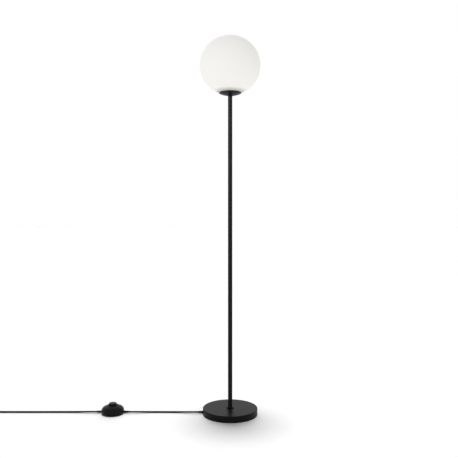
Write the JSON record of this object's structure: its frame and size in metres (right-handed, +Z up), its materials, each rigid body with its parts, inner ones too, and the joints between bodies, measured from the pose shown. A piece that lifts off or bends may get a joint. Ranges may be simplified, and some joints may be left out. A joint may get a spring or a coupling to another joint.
{
  "type": "floor lamp",
  "caption": "Slim black floor lamp: weighted round base, straight pole, shallow dish under an opal glass globe, and a mains lead with a round foot switch and plug.",
  "frame": {"origin": "on the floor under the middle of the base", "axes": "+Z up along the pole, the lead leaves the base along -X, -Y faces the viewer of the picture"},
  "size_m": [1.2212, 0.3247, 1.5571],
  "materials": {
    "black_powder_coat": "satin powder coat",
    "opal_glass": "glossy opal white",
    "black_sheath": "satin cord sheath",
    "black_moulding": "fine satin moulding",
    "black_phenolic": "glossy phenolic",
    "cast_iron": "rough casting",
    "black_rubber": "matt rubber",
    "clear_silicone": "milky silicone",
    "zinc_steel": "bright zinc plate",
    "spring_steel": "bright spring steel",
    "brass": "turned brass",
    "nickel_brass": "nickel plate",
    "white_plastic": "satin white",
    "lamp_opal": "milky diffuser",
    "brown_insulation": "core insulation",
    "amber_polymer": "switch block moulding"
  },
  "bodies": {
    "stand": {"base_bushing": "black_moulding", "base_clamp_screws": "zinc_steel", "base_cover": "black_powder_coat", "base_lead_clamp": "zinc_steel", "base_nut": "zinc_steel", "base_pad": "black_rubber", "base_stud": "zinc_steel", "base_washer": "zinc_steel", "base_weight": "cast_iron", "centre_contact": "brass", "coil_tie": "black_moulding", "foot_collar": "black_powder_coat", "globe_dish": "black_powder_coat", "globe_gasket": "clear_silicone", "globe_spring": "spring_steel", "inner_lead": "black_sheath", "lamp_cap": "nickel_brass", "lamp_diffuser": "lamp_opal", "lamp_housing": "white_plastic", "lamp_tip": "black_phenolic", "lampholder_cap": "black_phenolic", "lampholder_insulator": "white_plastic", "lampholder_skirt": "black_phenolic", "lampholder_terminals": "brass", "lead_coil": "black_sheath", "lead_cores": "brown_insulation", "lead_tail": "black_sheath", "lead_to_coil": "black_sheath", "lead_to_switch": "black_sheath", "lower_coupler": "zinc_steel", "pin_sleeves": "black_moulding", "plug_body": "black_moulding", "plug_pins": "nickel_brass", "pole_lower": "black_powder_coat", "pole_middle": "black_powder_coat", "pole_upper": "black_powder_coat", "ring_nut": "zinc_steel", "screw_shell": "nickel_brass", "switch_block": "amber_polymer", "switch_clamp_screws": "zinc_steel", "switch_cores": "brown_insulation", "switch_cover": "black_moulding", "switch_lead_clamps": "zinc_steel", "switch_lead_ends": "black_sheath", "switch_pad": "black_rubber", "switch_screws": "zinc_steel", "switch_sleeves": "black_moulding", "switch_spring": "spring_steel", "switch_tray": "black_moulding", "top_stud": "zinc_steel", "upper_coupler": "zinc_steel"},
    "globe": {"glass_globe": "opal_glass"},
    "button": {"switch_button": "black_moulding"}
  },
  "joints": [
    {"name": "globe_lift", "type": "slide", "parent": "stand", "child": "globe", "axis": [0, 0, 1], "range_m": [0, 0.13]},
    {"name": "button_press", "type": "slide", "parent": "stand", "child": "button", "axis": [0, 0, -1], "range_m": [0, 0.0035], "stiffness_N_per_m": 1500, "springref_m": -0.002, "deforming": ["switch_spring"]}
  ]
}
